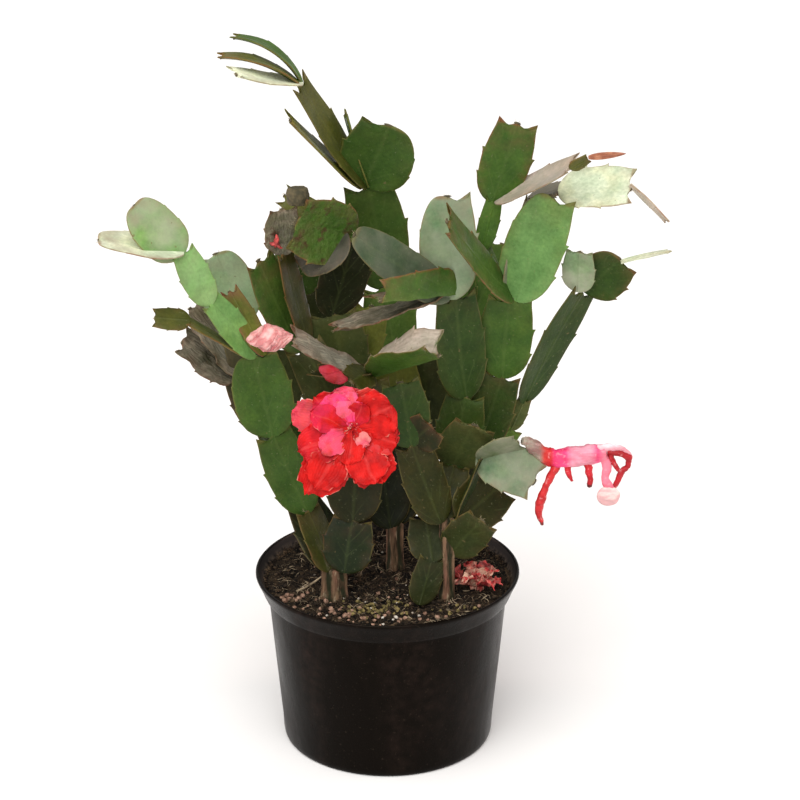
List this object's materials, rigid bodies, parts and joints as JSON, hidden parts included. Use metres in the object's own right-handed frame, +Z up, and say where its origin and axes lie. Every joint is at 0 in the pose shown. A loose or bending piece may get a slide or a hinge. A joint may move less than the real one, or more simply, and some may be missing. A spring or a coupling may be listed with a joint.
{
  "type": "potted holiday cactus",
  "caption": "Branching leafless holiday cactus of flat toothed segments with red flowers, growing in a round black plastic nursery pot.",
  "frame": {"origin": "centre of the pot's flat floor, on the surface it stands on", "axes": "+Z up along the pot's axis, -Y towards the front that shows the open flower, +X to the right"},
  "size_m": [0.2859, 0.1493, 0.3795],
  "materials": {
    "pot": "black moulded plastic, slightly glossy, with smears",
    "soil": "dark damp peat with bark, fibre, gravel and perlite",
    "bark": "dry brown cork, grooved lengthwise",
    "segment": "fleshy green skin with a soft waxy sheen",
    "flower": "satin red petals",
    "wilted": "limp pink and red petals",
    "bud_pink": "pale pink bud",
    "shoot": "young orange-brown shoot",
    "dry": "dried crumpled petals"
  },
  "bodies": {
    "root": {"pot": "pot", "soil": "soil", "trunk_left": "bark", "trunk_middle": "bark", "trunk_right": "bark", "stem_left_outer": "segment", "stem_left_back": "segment", "stem_left_inner": "segment", "stem_middle_left": "segment", "stem_middle_tall": "segment", "stem_right_inner": "segment", "stem_right_upright": "segment", "stem_right_top": "segment", "stem_right_outer": "segment", "stem_right_low": "segment", "stem_right_side": "segment", "stem_back": "segment", "shoot_right": "segment", "flower_open": "flower", "bud_red": "flower", "bud_pink": "bud_pink", "flower_wilted": "wilted", "shoot_orange": "shoot", "flower_fallen": "dry"}
  },
  "joints": []
}
